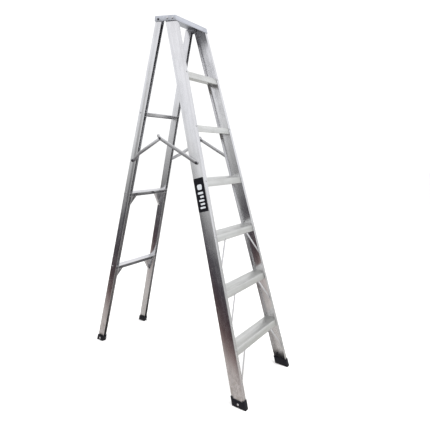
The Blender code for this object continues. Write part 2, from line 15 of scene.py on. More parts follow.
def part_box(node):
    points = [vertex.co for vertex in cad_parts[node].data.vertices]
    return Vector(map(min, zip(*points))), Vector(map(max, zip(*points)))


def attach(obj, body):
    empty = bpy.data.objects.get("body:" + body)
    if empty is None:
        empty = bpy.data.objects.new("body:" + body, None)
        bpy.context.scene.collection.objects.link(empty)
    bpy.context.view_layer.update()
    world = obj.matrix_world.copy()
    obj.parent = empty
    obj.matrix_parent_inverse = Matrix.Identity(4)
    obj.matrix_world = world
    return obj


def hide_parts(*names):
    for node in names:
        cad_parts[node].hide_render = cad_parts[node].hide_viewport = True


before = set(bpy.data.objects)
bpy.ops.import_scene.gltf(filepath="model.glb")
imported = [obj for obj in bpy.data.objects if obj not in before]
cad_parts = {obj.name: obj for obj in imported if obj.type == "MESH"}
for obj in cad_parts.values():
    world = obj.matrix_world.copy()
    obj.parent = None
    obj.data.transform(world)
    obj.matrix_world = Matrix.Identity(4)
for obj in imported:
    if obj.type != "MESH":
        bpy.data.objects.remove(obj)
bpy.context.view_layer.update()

# %% [markdown]
# ## Helpers for modelling by hand
# An operator works on whatever is selected, so every step starts by selecting one piece only, and then
# the faces or edges it needs. They are found by place or direction, as a hand would pick them. A flat
# CAD piece also tells its own axes: its widest side gives one, its next side another, and the two
# together give the way it runs. Working in those axes keeps slanted pieces as easy as upright ones.


# %% Select, edit, finish
def only(piece):
    """Select one piece and nothing else."""
    bpy.ops.object.select_all(action="DESELECT")
    piece.select_set(True)
    bpy.context.view_layer.objects.active = piece


def edit(piece):
    only(piece)
    bpy.ops.object.mode_set(mode="EDIT")


def leave_edit():
    bpy.ops.object.mode_set(mode="OBJECT")


def pick_faces(piece, test):
    """In edit mode, select the faces whose centre and normal pass the test."""
    bpy.ops.mesh.select_mode(type="FACE")
    bpy.ops.mesh.select_all(action="DESELECT")
    mesh = bmesh.from_edit_mesh(piece.data)
    chosen = [face for face in mesh.faces if test(face.calc_center_median(), face.normal)]
    for face in chosen:
        face.select_set(True)
    bmesh.update_edit_mesh(piece.data)
    return len(chosen)


def pick_edges(piece, test):
    """In edit mode, select the edges whose two ends pass the test."""
    bpy.ops.mesh.select_mode(type="EDGE")
    bpy.ops.mesh.select_all(action="DESELECT")
    mesh = bmesh.from_edit_mesh(piece.data)
    chosen = [edge for edge in mesh.edges if test(edge.verts[0].co, edge.verts[1].co)]
    for edge in chosen:
        edge.select_set(True)
    bmesh.update_edit_mesh(piece.data)
    return len(chosen)


def use_modifier(piece, kind, **settings):
    """Add a modifier, set it and apply it."""
    modifier = piece.modifiers.new(kind.lower(), kind)
    for setting, value in settings.items():
        setattr(modifier, setting, value)
    only(piece)
    bpy.ops.object.modifier_apply(modifier=modifier.name)


def name_piece(name):
    """Name the object that was just added."""
    piece = bpy.context.active_object
    piece.name = name
    piece.data.name = name
    return piece


def block(name, low, high):
    """A cuboid between two corners, ready to be shaped."""
    bpy.ops.object.select_all(action="DESELECT")
    bpy.ops.mesh.primitive_cube_add(size=1, location=(low + high) / 2, scale=high - low)
    piece = name_piece(name)
    bpy.ops.object.transform_apply(location=True, rotation=True, scale=True)
    return piece


def settle(piece, axes):
    """Move a piece from its own axes to its place, and keep that place in its mesh."""
    piece.matrix_world = axes
    only(piece)
    bpy.ops.object.transform_apply(location=True, rotation=True, scale=True)


def trim(piece, point, normal):
    """Cut a piece by a plane, close the cut, and drop what lies on the normal's side."""
    edit(piece)
    bpy.ops.mesh.select_all(action="SELECT")
    bpy.ops.mesh.bisect(plane_co=point, plane_no=normal, use_fill=True, clear_outer=True)
    leave_edit()


def soften(piece, width, segments=2, angle=50, smooth=35):
    """Round the sharp edges a little, then shade smoothly across shallow angles."""
    use_modifier(piece, "BEVEL", width=width, segments=segments, limit_method="ANGLE",
                 angle_limit=math.radians(angle))
    only(piece)
    bpy.ops.object.shade_smooth_by_angle(angle=math.radians(smooth))


# %% Read a CAD piece's own axes
def side_directions(node):
    """Directions of a CAD piece's flat sides, widest first; a side and its back count as one."""
    groups = []
    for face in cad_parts[node].data.polygons:
        for group in groups:
            if abs(face.normal.dot(group[1])) > 0.9999:
                group[0] += face.area
                break
        else:
            groups.append([face.area, face.normal.copy()])
    return [normal for _, normal in sorted(groups, key=lambda group: -group[0])]


def cad_axes(node, facing, along):
    """Axes of a straight CAD piece: X runs along it, Z faces out of its widest side."""
    sides = side_directions(node)
    out = sides[0] if sides[0].dot(Vector(facing)) > 0 else -sides[0]
    second = next(side for side in sides[1:] if abs(side.dot(out)) < 0.5)
    run = out.cross(second).normalized()
    run = run if run.dot(Vector(along)) > 0 else -run
    return Matrix((run, out.cross(run), out)).transposed().to_4x4()


def points_in(node, axes):
    """Corner points of a CAD piece, seen in the given axes."""
    inverse = axes.inverted()
    return [inverse @ vertex.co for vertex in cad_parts[node].data.vertices]


def reach(points):
    """Lowest and highest corner of some points."""
    low = Vector([min(point[axis] for point in points) for axis in range(3)])
    high = Vector([max(point[axis] for point in points) for axis in range(3)])
    return low, high


def end_plane(node, way):
    """Point and normal of the flat end of a CAD piece that faces the given way."""
    facing = [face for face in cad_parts[node].data.polygons if face.normal.dot(way) > 0.75]
    face = max(facing, key=lambda face: face.center.dot(way))
    return face.center.copy(), face.normal.copy()


print("front stile runs along", [round(value, 3) for value in
                                 cad_axes("front_stile_left", (-1, 0, 0), (0, 0, 1)).col[0][:3]])

# %% [markdown]
# ## Metal that has been handled
# The ladder is extruded and folded aluminium. Extrusion leaves fine lines along a channel, so a noise
# that is stretched far along the piece gives the grain. Hands and storage leave cloudy smudges that
# change the gloss more than the colour, and the foot of a ladder gathers pale dust. Each of these is
# a node group, built once, so that stiles, treads and straps share them with values of their own.


# %% Node groups that several finishes share
def new_group(name, inputs, outputs):
    """Empty node group with named sockets; an input is (name, kind, default)."""
    group = bpy.data.node_groups.new(name, "ShaderNodeTree")
    for socket, kind, default in inputs:
        made = group.interface.new_socket(name=socket, in_out="INPUT", socket_type=kind)
        if default is not None:
            made.default_value = default
    for socket, kind in outputs:
        group.interface.new_socket(name=socket, in_out="OUTPUT", socket_type=kind)
    return group, group.nodes.new("NodeGroupInput"), group.nodes.new("NodeGroupOutput")


def add_node(tree, kind, **settings):
    node = tree.nodes.new(kind)
    for setting, value in settings.items():
        if setting in node.inputs:
            node.inputs[setting].default_value = value
        else:
            setattr(node, setting, value)
    return node


def wire(tree, source, output, target, socket):
    tree.links.new(source.outputs[output], target.inputs[socket])


def stretched_noise(tree, source, output, scale, detail, roughness=0.55):
    """Noise whose grains are scaled differently along each axis."""
    mapping = add_node(tree, "ShaderNodeMapping")
    mapping.inputs["Scale"].default_value = scale
    noise = add_node(tree, "ShaderNodeTexNoise", Scale=1.0, Detail=detail, Roughness=roughness)
    wire(tree, source, output, mapping, "Vector")
    wire(tree, mapping, "Vector", noise, "Vector")
    return noise


def ranged(tree, source, output, low, high, to_low=0.0, to_high=1.0):
    """Stretch a value's range, with soft ends."""
    node = add_node(tree, "ShaderNodeMapRange", interpolation_type="SMOOTHSTEP")
    for socket, value in (("From Min", low), ("From Max", high), ("To Min", to_low), ("To Max", to_high)):
        node.inputs[socket].default_value = value
    wire(tree, source, output, node, "Value")
    return node


def calc(tree, operation, first, second=None, clamp=False):
    """Math node; each side is a number or a (node, output) pair."""
    node = add_node(tree, "ShaderNodeMath", operation=operation, use_clamp=clamp)
    for socket, value in enumerate((first, second)):
        if isinstance(value, tuple):
            wire(tree, value[0], value[1], node, socket)
        elif value is not None:
            node.inputs[socket].default_value = value
    return node


def build_grain():
    """Lines along X: fine ones for the bump, and a slow unevenness."""
    group, start, end = new_group("extrusion_lines", [("Vector", "NodeSocketVector", None)],
                                  [("Fine", "NodeSocketFloat"), ("Broad", "NodeSocketFloat")])
    fine = stretched_noise(group, start, "Vector", (3.0, 900.0, 900.0), 4.0, 0.65)
    broad = stretched_noise(group, start, "Vector", (1.4, 60.0, 60.0), 2.0)
    wire(group, fine, "Fac", end, "Fine")
    wire(group, broad, "Fac", end, "Broad")
    return group


def build_smudges():
    """Cloudy handling marks, and thin scratches that lie across each other."""
    group, start, end = new_group("handling_marks", [("Vector", "NodeSocketVector", None)],
                                  [("Smudges", "NodeSocketFloat"), ("Scratches", "NodeSocketFloat")])
    cloudy = stretched_noise(group, start, "Vector", (9.0, 17.0, 17.0), 5.0, 0.6)
    smudges = ranged(group, cloudy, "Fac", 0.42, 0.68)
    thin = []
    for turn, scale in ((0.5, (14.0, 700.0, 700.0)), (-0.9, (11.0, 620.0, 620.0))):
        turned = add_node(group, "ShaderNodeMapping")
        turned.inputs["Rotation"].default_value = (0.3, turn * 0.4, turn)
        wire(group, start, "Vector", turned, "Vector")
        noise = stretched_noise(group, turned, "Vector", scale, 1.0)
        thin.append(ranged(group, noise, "Fac", 0.70, 0.78))
    both = calc(group, "MAXIMUM", (thin[0], "Result"), (thin[1], "Result"))
    wire(group, smudges, "Result", end, "Smudges")
    wire(group, both, "Value", end, "Scratches")
    return group


def build_floor_dust():
    """Dust and splashes, dense at the floor and gone above a height; it reads upright coordinates."""
    group, start, end = new_group(
        "floor_dust", [("Vector", "NodeSocketVector", None), ("Height", "NodeSocketFloat", 0.3)],
        [("Dust", "NodeSocketFloat")])
    split = add_node(group, "ShaderNodeSeparateXYZ")
    wire(group, start, "Vector", split, "Vector")
    share = calc(group, "DIVIDE", (split, "Z"), (start, "Height"))
    low_down = calc(group, "SUBTRACT", 1.0, (share, "Value"), clamp=True)
    specks = stretched_noise(group, start, "Vector", (55.0, 55.0, 38.0), 6.0, 0.7)
    patches = ranged(group, specks, "Fac", 0.40, 0.66)
    dust = calc(group, "MULTIPLY", (low_down, "Value"), (patches, "Result"))
    wire(group, dust, "Value", end, "Dust")
    return group


GRAIN, SMUDGES, FLOOR_DUST = build_grain(), build_smudges(), build_floor_dust()
print("node groups", [group.name for group in bpy.data.node_groups])

# %% [markdown]
# ## The finishes
# Aluminium is plain Metallic 1 with a pale grey base. What makes it read as a mill finish rather than
# chrome is its roughness, which the smudges and scratches vary, and a very shallow bump from the
# grain. A stile and a tread run different ways, so each material turns the pattern to its own piece
# with a Mapping node. The treads are duller than the stiles, and the cap is greyer.


# %% Make the materials
def group_node(tree, group, source, output):
    node = add_node(tree, "ShaderNodeGroup", node_tree=group)
    wire(tree, source, output, node, "Vector")
    return node


def mix_colours(tree, factor, first, second):
    """Mix two colours by a (node, output) factor; each colour is a tuple or a (node, output) pair."""
    node = add_node(tree, "ShaderNodeMix", data_type="RGBA")
    tree.links.new(factor[0].outputs[factor[1]], node.inputs[0])
    for socket, colour in ((6, first), (7, second)):
        if isinstance(colour[0], float):
            node.inputs[socket].default_value = (*colour, 1.0)
        else:
            tree.links.new(colour[0].outputs[colour[1]], node.inputs[socket])
    return node, 2


def new_material(name):
    material = bpy.data.materials.new(name)
    material.use_nodes = True
    tree = material.node_tree
    return material, tree, tree.nodes["Principled BSDF"], add_node(tree, "ShaderNodeTexCoord")


def bump(tree, shader, height, strength, distance):
    node = add_node(tree, "ShaderNodeBump", Strength=strength, Distance=distance)
    tree.links.new(height[0].outputs[height[1]], node.inputs["Height"])
    wire(tree, node, "Normal", shader, "Normal")


def aluminium(name, axes, base, gloss, dust_height=0.35, line_depth=0.00006):
    """Extruded or folded aluminium; its lines follow the X axis of the given axes."""
    material, tree, shader, coords = new_material(name)
    turn = add_node(tree, "ShaderNodeMapping", vector_type="TEXTURE")
    turn.inputs["Rotation"].default_value = axes.to_euler()
    wire(tree, coords, "Object", turn, "Vector")
    grain = group_node(tree, GRAIN, turn, "Vector")
    marks = group_node(tree, SMUDGES, turn, "Vector")
    dust = group_node(tree, FLOOR_DUST, coords, "Object")
    dust.inputs["Height"].default_value = dust_height
    darker = tuple(value * 0.90 for value in base)
    dull = tuple(value * 0.82 for value in base)
    lined = mix_colours(tree, (ranged(tree, grain, "Broad", 0.35, 0.65), "Result"), base, darker)
    smudged = mix_colours(tree, (ranged(tree, marks, "Smudges", 0, 1, 0, 0.35), "Result"), lined, dull)
    dusty = mix_colours(tree, (ranged(tree, dust, "Dust", 0, 1, 0, 0.55), "Result"), smudged,
                        (0.42, 0.38, 0.33))
    tree.links.new(dusty[0].outputs[dusty[1]], shader.inputs["Base Color"])
    shader.inputs["Metallic"].default_value = 1.0
    fine = ranged(tree, grain, "Fine", 0.3, 0.7, gloss - 0.03, gloss + 0.04)
    with_marks = calc(tree, "MULTIPLY_ADD", (marks, "Smudges"), 0.11)
    tree.links.new(fine.outputs["Result"], with_marks.inputs[2])
    with_scratches = calc(tree, "MULTIPLY_ADD", (marks, "Scratches"), 0.10)
    tree.links.new(with_marks.outputs["Value"], with_scratches.inputs[2])
    with_dust = calc(tree, "MULTIPLY_ADD", (dust, "Dust"), 0.25)
    tree.links.new(with_scratches.outputs["Value"], with_dust.inputs[2])
    wire(tree, with_dust, "Value", shader, "Roughness")
    relief = calc(tree, "SUBTRACT", (grain, "Fine"), (marks, "Scratches"))
    bump(tree, shader, (relief, "Value"), 0.35, line_depth)
    return material


def rubber(name):
    """Moulded black rubber: a pebbled skin, scuffed grey where it meets the floor."""
    material, tree, shader, coords = new_material(name)
    pebbles = stretched_noise(tree, coords, "Object", (900.0, 900.0, 900.0), 3.0)
    scuffs = stretched_noise(tree, coords, "Object", (90.0, 90.0, 140.0), 5.0, 0.7)
    dust = group_node(tree, FLOOR_DUST, coords, "Object")
    dust.inputs["Height"].default_value = 0.030
    scuffed = ranged(tree, scuffs, "Fac", 0.52, 0.72)
    colour = mix_colours(tree, (scuffed, "Result"), (0.006, 0.006, 0.010), (0.014, 0.014, 0.018))
    dusty = mix_colours(tree, (ranged(tree, dust, "Dust", 0, 1, 0, 0.20), "Result"), colour,
                        (0.09, 0.085, 0.08))
    tree.links.new(dusty[0].outputs[dusty[1]], shader.inputs["Base Color"])
    rough = ranged(tree, scuffs, "Fac", 0.35, 0.70, 0.42, 0.68)
    wire(tree, rough, "Result", shader, "Roughness")
    shader.inputs["Specular IOR Level"].default_value = 0.22
    bump(tree, shader, (pebbles, "Fac"), 0.5, 0.00025)
    return material


def plated(name, base, gloss):
    """Plated or blackened steel for rivets and bolts, with a faint spangle."""
    material, tree, shader, coords = new_material(name)
    spangle = add_node(tree, "ShaderNodeTexVoronoi", Scale=700.0)
    wire(tree, coords, "Object", spangle, "Vector")
    marks = group_node(tree, SMUDGES, coords, "Object")
    tone = ranged(tree, spangle, "Distance", 0.0, 0.9)
    colour = mix_colours(tree, (tone, "Result"), tuple(value * 0.85 for value in base), base)
    tree.links.new(colour[0].outputs[colour[1]], shader.inputs["Base Color"])
    shader.inputs["Metallic"].default_value = 1.0
    rough = ranged(tree, marks, "Smudges", 0, 1, gloss, gloss + 0.14)
    wire(tree, rough, "Result", shader, "Roughness")
    bump(tree, shader, (spangle, "Distance"), 0.25, 0.0001)
    return material


def film(name, base, worn, gloss):
    """Printed film for the label, with rubbed patches and a slight orange-peel skin."""
    material, tree, shader, coords = new_material(name)
    rubbed = stretched_noise(tree, coords, "Object", (60.0, 60.0, 25.0), 6.0, 0.65)
    patches = ranged(tree, rubbed, "Fac", 0.56, 0.76)
    colour = mix_colours(tree, (patches, "Result"), base, worn)
    tree.links.new(colour[0].outputs[colour[1]], shader.inputs["Base Color"])
    rough = ranged(tree, rubbed, "Fac", 0.35, 0.75, gloss, gloss + 0.25)
    wire(tree, rough, "Result", shader, "Roughness")
    shader.inputs["Specular IOR Level"].default_value = 0.15
    peel = stretched_noise(tree, coords, "Object", (500.0, 500.0, 500.0), 2.0)
    bump(tree, shader, (peel, "Fac"), 0.12, 0.0002)
    return material


STILE_BASE = (0.80, 0.80, 0.81)
TREAD_BASE = (0.76, 0.765, 0.74)
CAP_BASE = (0.66, 0.68, 0.73)
LEVEL = Matrix.Identity(4)
SIDES = (("left", -1), ("right", 1))
FINISH = {
    "tread": aluminium("tread_aluminium", LEVEL, TREAD_BASE, 0.36),
    "rung": aluminium("rung_aluminium", LEVEL, STILE_BASE, 0.34),
    "cap": aluminium("cap_aluminium", LEVEL, CAP_BASE, 0.34),
    "rubber": rubber("foot_rubber"),
    "steel": plated("plated_steel", (0.72, 0.72, 0.73), 0.24),
    "dark_steel": plated("blackened_steel", (0.11, 0.11, 0.12), 0.32),
    "label": film("label_film", (0.006, 0.006, 0.009), (0.020, 0.020, 0.024), 0.30),
    "print": film("label_print", (0.55, 0.57, 0.60), (0.36, 0.37, 0.40), 0.38),
}
STILE_AXES = {}
for word, side in SIDES:
    for part in ("front", "rear"):
        node = f"{part}_stile_{word}"
        STILE_AXES[node] = cad_axes(node, (side, 0, 0), (0, 0, 1))
        FINISH[node] = aluminium(f"{node}_aluminium", STILE_AXES[node], STILE_BASE, 0.20)
print(len(FINISH), "finishes")


def wear(piece, finish):
    """Give a piece one finish."""
    piece.data.materials.clear()
    piece.data.materials.append(FINISH[finish])


def join_model(piece, body, finish, slot, *nodes):
    """Finish a piece, let it ride on its body, and hide the CAD pieces it stands for."""
    wear(piece, finish)
    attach(piece, body)
    if nodes:
        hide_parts(*nodes)


# %% [markdown]
# ## Stiles, treads and rungs: one folded section
# A stile is a channel and a tread is a strip with a lip folded down at each edge. Both are the same
# shape: a flat plate with two lips. It starts as one plane, its two long edges are extruded into
# lips, the folds are bevelled to a radius, and Solidify gives the sheet its thickness. The ends are
# cut by the planes that the CAD piece ends in, so a tread still meets both leaning stiles.


# %% Fold a plate with two lips
def make_folded(name, node, axes, wall, fold):
    """Plate with two lips that follows a CAD piece, with folds of the given tangent length."""
    points = points_in(node, axes)
    low, high = reach(points)
    plate = [point.y for point in points if point.z > high.z - 1e-4]
    lips = [point.y for point in points if point.z < low.z + 1e-4]
    spare = 0.04
    bpy.ops.object.select_all(action="DESELECT")
    bpy.ops.mesh.primitive_plane_add(
        size=1, location=((low.x + high.x) / 2, (min(plate) + max(plate)) / 2, high.z))
    piece = name_piece(name)
    piece.scale = (high.x - low.x + 2 * spare, max(plate) - min(plate), 1)
    bpy.ops.object.transform_apply(location=True, rotation=True, scale=True)
    edit(piece)
    for start, end in ((min(plate), min(lips)), (max(plate), max(lips))):
        pick_edges(piece, lambda a, b: abs(a.y - start) < 1e-5 and abs(b.y - start) < 1e-5
                   and abs(a.x - b.x) > spare)
        bpy.ops.mesh.extrude_edges_move(
            TRANSFORM_OT_translate={"value": (0, end - start, low.z - high.z)})
    bpy.ops.mesh.select_all(action="SELECT")
    bpy.ops.mesh.normals_make_consistent(inside=False)
    if not pick_faces(piece, lambda centre, normal: normal.z > 0.99):
        bpy.ops.mesh.select_all(action="SELECT")
        bpy.ops.mesh.flip_normals()
    pick_edges(piece, lambda a, b: min(a.z, b.z) > high.z - 1e-5 and abs(a.x - b.x) > spare)
    bpy.ops.mesh.bevel(offset=fold, segments=4, affect="EDGES")
    leave_edit()
    use_modifier(piece, "SOLIDIFY", thickness=wall, offset=-1, use_even_offset=True)
    settle(piece, axes)
    for way in (1, -1):
        trim(piece, *end_plane(node, axes.to_3x3() @ Vector((way, 0, 0))))
    soften(piece, 0.0004)
    return piece


STILE_WALL, STILE_FOLD = 0.0022, 0.0030
for node, axes in STILE_AXES.items():
    stile = make_folded(f"{node}_channel", node, axes, STILE_WALL, STILE_FOLD)
    body = "front_frame" if node.startswith("front") else "rear_frame"
    join_model(stile, body, node, "aluminium", node)

# %% Treads and rungs
TREAD_WALL, TREAD_FOLD = 0.0020, 0.0032
RUNG_WALL, RUNG_FOLD = 0.0016, 0.0026
STEPS = [f"step_{number}" for number in range(1, 7)]
RUNGS = [f"rear_rung_{number}" for number in range(1, 4)]
STEP_AXES = {node: cad_axes(node, (0, 0, 1), (1, 0, 0)) for node in STEPS}
RUNG_AXES = {node: cad_axes(node, (0, 0, 1), (1, 0, 0)) for node in RUNGS}
for node, axes in STEP_AXES.items():
    tread = make_folded(f"{node}_tread", node, axes, TREAD_WALL, TREAD_FOLD)
    join_model(tread, "front_frame", "tread", "tread", node)
for node, axes in RUNG_AXES.items():
    strip = make_folded(f"{node}_strip", node, axes, RUNG_WALL, RUNG_FOLD)
    join_model(strip, "rear_frame", "rung", "aluminium", node)
print(len(STEPS), "treads and", len(RUNGS), "rungs")

# %% [markdown]
# ## Hinge holes
# The pins of the hinge belong to the front frame and pass through the rear stiles, which turn round
# them. A new channel is solid there, so each gets a real hole: a Boolean with a short cylinder.


# %% Drill the rear stiles
def drill(piece, centre, radius, length):
    """Round hole along X."""
    bpy.ops.object.select_all(action="DESELECT")
    bpy.ops.mesh.primitive_cylinder_add(vertices=32, radius=radius, depth=length, location=centre,
                                        rotation=(0, math.pi / 2, 0))
    cutter = name_piece("drill")
    use_modifier(piece, "BOOLEAN", operation="DIFFERENCE", solver="EXACT", object=cutter)
    bpy.data.objects.remove(cutter, do_unlink=True)


PIN_RADIUS, PLAY = 0.0030, 0.0003
for word, side in SIDES:
    low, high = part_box(f"hinge_pin_{word}")
    drill(bpy.data.objects[f"rear_stile_{word}_channel"], (low + high) / 2, PIN_RADIUS + PLAY, 0.03)
print("hinge height", round(((low + high) / 2).z, 4))

# %% [markdown]
# ## The top cap
# The cap is a tray of thicker sheet with its back left open: a top plate, a lip at the front and a
# flange at each end. A block is sized by the CAD cap, its bottom and back are deleted, and the bends
# are bevelled. The lip leans with the stiles, so its lower edge is moved out to meet them.


# %% Fold the cap
def make_cap(node, wall, bend):
    points = points_in(node, LEVEL)
    low, high = reach(points)
    front_top = min(point.y for point in points if point.z > high.z - 1e-4)
    cap = block("top_cap_tray", Vector((low.x, front_top, low.z)), high)
    edit(cap)
    pick_edges(cap, lambda a, b: max(a.z, b.z) < low.z + 1e-5 and max(a.y, b.y) < front_top + 1e-5)
    bpy.ops.transform.translate(value=(0, low.y - front_top, 0))
    pick_faces(cap, lambda centre, normal: normal.z < -0.9 or normal.y > 0.9)
    bpy.ops.mesh.delete(type="FACE")
    pick_edges(cap, lambda a, b: (min(a.z, b.z) > high.z - 1e-5 and min(a.y, b.y) < high.y - 1e-5)
               or (max(a.y, b.y) < front_top + 1e-5 and abs(a.z - b.z) > 0.01))
    bpy.ops.mesh.bevel(offset=bend, segments=4, affect="EDGES")
    leave_edit()
    use_modifier(cap, "SOLIDIFY", thickness=wall, offset=-1, use_even_offset=True)
    soften(cap, 0.0004)
    return cap


CAP_WALL, CAP_BEND = 0.0020, 0.0034
cap = make_cap("top_cap", CAP_WALL, CAP_BEND)
join_model(cap, "front_frame", "cap", "tread", "top_cap")
print("cap", [round(size, 4) for size in cap.dimensions])

# %% [markdown]
# ## Straps
# The three lowest treads are steadied by thin straps. They are cut from flat stock with round ends: a
# block whose four upright corner edges are bevelled by half its width. The bevel leaves doubled points
# at the tips, so they are merged.


# %% Cut the straps
WELD = 0.00005                  # points closer than this are merged


def make_strap(name, node, axes, edge):
    """Flat strap with fully round ends that follows a CAD piece."""
    low, high = reach(points_in(node, axes))
    strap = block(name, low, high)
    edit(strap)
    pick_edges(strap, lambda a, b: abs(a.z - b.z) > 1e-4 and (a - b).xy.length < 1e-6)
    bpy.ops.mesh.bevel(offset=(high.y - low.y) / 2 - 1e-5, segments=8, affect="EDGES")
    bpy.ops.mesh.select_all(action="SELECT")
    bpy.ops.mesh.remove_doubles(threshold=WELD)
    leave_edit()
    settle(strap, axes)
    soften(strap, edge)
    return strap


BRACES = [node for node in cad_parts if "_brace_" in node]
for node in BRACES:
    strap = make_strap(f"{node}_strap", node, cad_axes(node, (0, -1, 0), (0, 0, -1)), 0.0003)
    join_model(strap, "front_frame", "rung", "aluminium", node)
print(len(BRACES), "straps")

# %% [markdown]
# ## Corner gussets
# The two lower rungs are steadied by pressed corner plates. A plate alone would buckle, so its sloping
# edge is folded forward into a lip, and that lip is what catches the shadow. It starts as one plane,
# which is cut by the CAD plate's narrow sides; then the sloping edge is extruded and the fold rounded.


# %% Press the gussets
def make_gusset(name, node, axes, wall, fold):
    """Corner plate with a folded lip; in its axes X follows the slope and Z faces forward."""
    low, high = reach(points_in(node, axes))
    lip = [point.y for point in points_in(node, axes) if point.z > high.z - 1e-4]
    slope = low.y if abs(min(lip) - low.y) < abs(max(lip) - high.y) else high.y
    bpy.ops.object.select_all(action="DESELECT")
    bpy.ops.mesh.primitive_plane_add(
        size=1, location=((low.x + high.x) / 2, (low.y + high.y) / 2, low.z))
    piece = name_piece(name)
    piece.scale = (high.x - low.x, high.y - low.y, 1)
    bpy.ops.object.transform_apply(location=True, rotation=True, scale=True)
    settle(piece, axes)
    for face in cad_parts[node].data.polygons:
        along_run, along_slope, along_out = (abs(face.normal.dot(axis)) for axis in axes.to_3x3().col)
        if along_out < 0.1 and max(along_run, along_slope) < 0.99:
            edit(piece)
            bpy.ops.mesh.select_all(action="SELECT")
            bpy.ops.mesh.bisect(plane_co=face.center, plane_no=face.normal, clear_outer=True)
            leave_edit()
    settle(piece, axes.inverted())
    edit(piece)
    picked = pick_edges(piece, lambda a, b: abs(a.y - slope) < 1e-5 and abs(b.y - slope) < 1e-5)
    bpy.ops.mesh.extrude_edges_move(TRANSFORM_OT_translate={"value": (0, 0, high.z - low.z)})
    bpy.ops.mesh.select_all(action="SELECT")
    bpy.ops.mesh.normals_make_consistent(inside=False)
    if not pick_faces(piece, lambda centre, normal: normal.z < -0.99):
        bpy.ops.mesh.select_all(action="SELECT")
        bpy.ops.mesh.flip_normals()
    pick_edges(piece, lambda a, b: abs(a.y - slope) < 1e-5 and abs(b.y - slope) < 1e-5
               and max(a.z, b.z) < low.z + 1e-5)
    bpy.ops.mesh.bevel(offset=fold, segments=4, affect="EDGES")
    leave_edit()
    use_modifier(piece, "SOLIDIFY", thickness=wall, offset=-1, use_even_offset=True)
    settle(piece, axes)
    soften(piece, 0.0003)
    print(name, picked, "slope edge", [round(size, 3) for size in piece.dimensions])
    return piece


GUSSET_WALL, GUSSET_FOLD = 0.0018, 0.0024
GUSSETS = [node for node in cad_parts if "_gusset_" in node]
for node in GUSSETS:
    gusset = make_gusset(f"{node}_plate", node, cad_axes(node, (0, -1, 0), (0, 0, -1)),
                         GUSSET_WALL, GUSSET_FOLD)
    join_model(gusset, "rear_frame", "rung", "aluminium", node)
print(len(GUSSETS), "gussets")

# %% [markdown]
# ## Spreader bars
# Two flat bars on each side keep the frames from sliding apart, and fold upward at their joint. The
# front bar goes on past the joint and turns up as an ear to push on: the end face of a block is
# extruded, and turned by the angle of the ear. The rear bar steps sideways to lie inside the front
# one, which is two bisect cuts across it and a move of everything beyond the second cut.


# %% Cut the spreader bars
BAR_WIDTH = 0.020
JOGGLE_START, JOGGLE_END = 0.022, 0.087       # from the pivot, along the bar
EAR_LENGTH, EAR_TURN = 0.018, math.radians(27)


def make_eared_bar(name, node, axes, joint):
    """Flat bar that goes on past its middle joint and turns upward there as a short ear."""
    points = points_in(node, axes)
    low, high = reach(points)
    half = BAR_WIDTH / 2
    at_pivot = [point.y for point in points if point.x < low.x + half + 1e-4]
    bottom, top = min(at_pivot), max(at_pivot)
    upward = 1 if high.y - top > bottom - low.y else -1
    bend = (axes.inverted() @ joint).x
    bar = block(name, Vector((low.x, bottom, low.z)), Vector((bend, top, high.z)))
    edit(bar)
    pick_faces(bar, lambda centre, normal: normal.x > 0.9)
    middle = (bottom + top) / 2
    tip = Vector((bend + (EAR_LENGTH + half) * math.cos(EAR_TURN),
                  middle + upward * (EAR_LENGTH + half) * math.sin(EAR_TURN), 0))
    bpy.ops.mesh.extrude_region_move(
        TRANSFORM_OT_translate={"value": (tip.x - bend, tip.y - middle, 0)})
    bpy.ops.transform.rotate(value=-upward * EAR_TURN, orient_axis="Z",
                             center_override=(tip.x, tip.y, (low.z + high.z) / 2))
    leave_edit()
    edit(bar)
    pick_edges(bar, lambda a, b: abs(a.z - b.z) > 1e-4 and (a - b).xy.length < 1e-6
               and (a.x < low.x + 1e-4 or (a.xy - tip.xy).length < half + 1e-4))
    bpy.ops.mesh.bevel(offset=half - 1e-4, segments=8, affect="EDGES")
    bpy.ops.mesh.select_all(action="SELECT")
    bpy.ops.mesh.normals_make_consistent(inside=False)
    leave_edit()
    settle(bar, axes)
    soften(bar, 0.0004)
    return bar


def make_stepped_bar(name, node, axes):
    """Flat bar that steps sideways after its pivot; its own axes start at the pivot end."""
    points = points_in(node, axes)
    low, high = reach(points)
    at_pivot = [point.z for point in points if point.x < low.x + BAR_WIDTH / 2]
    pivot_low, pivot_high = min(at_pivot), max(at_pivot)
    step = (low.z + high.z) - (pivot_low + pivot_high)
    bar = block(name, Vector((low.x, low.y, pivot_low)), Vector((high.x, high.y, pivot_high)))
    edit(bar)
    pick_edges(bar, lambda a, b: abs(a.z - b.z) > 1e-4 and (a - b).xy.length < 1e-6)
    bpy.ops.mesh.bevel(offset=BAR_WIDTH / 2 - 1e-5, segments=8, affect="EDGES")
    bpy.ops.mesh.select_all(action="SELECT")
    bpy.ops.mesh.remove_doubles(threshold=WELD)
    pivot = low.x + BAR_WIDTH / 2
    for place in (pivot + JOGGLE_START, pivot + JOGGLE_END):
        bpy.ops.mesh.select_all(action="SELECT")
        bpy.ops.mesh.bisect(plane_co=(place, 0, 0), plane_no=(1, 0, 0))
    bpy.ops.mesh.select_mode(type="VERT")
    bpy.ops.mesh.select_all(action="DESELECT")
    mesh = bmesh.from_edit_mesh(bar.data)
    for vertex in mesh.verts:
        vertex.select_set(vertex.co.x > pivot + JOGGLE_END - 1e-5)
    mesh.select_flush_mode()
    bmesh.update_edit_mesh(bar.data)
    bpy.ops.transform.translate(value=(0, 0, step))
    leave_edit()
    settle(bar, axes)
    soften(bar, 0.0004)
    return bar


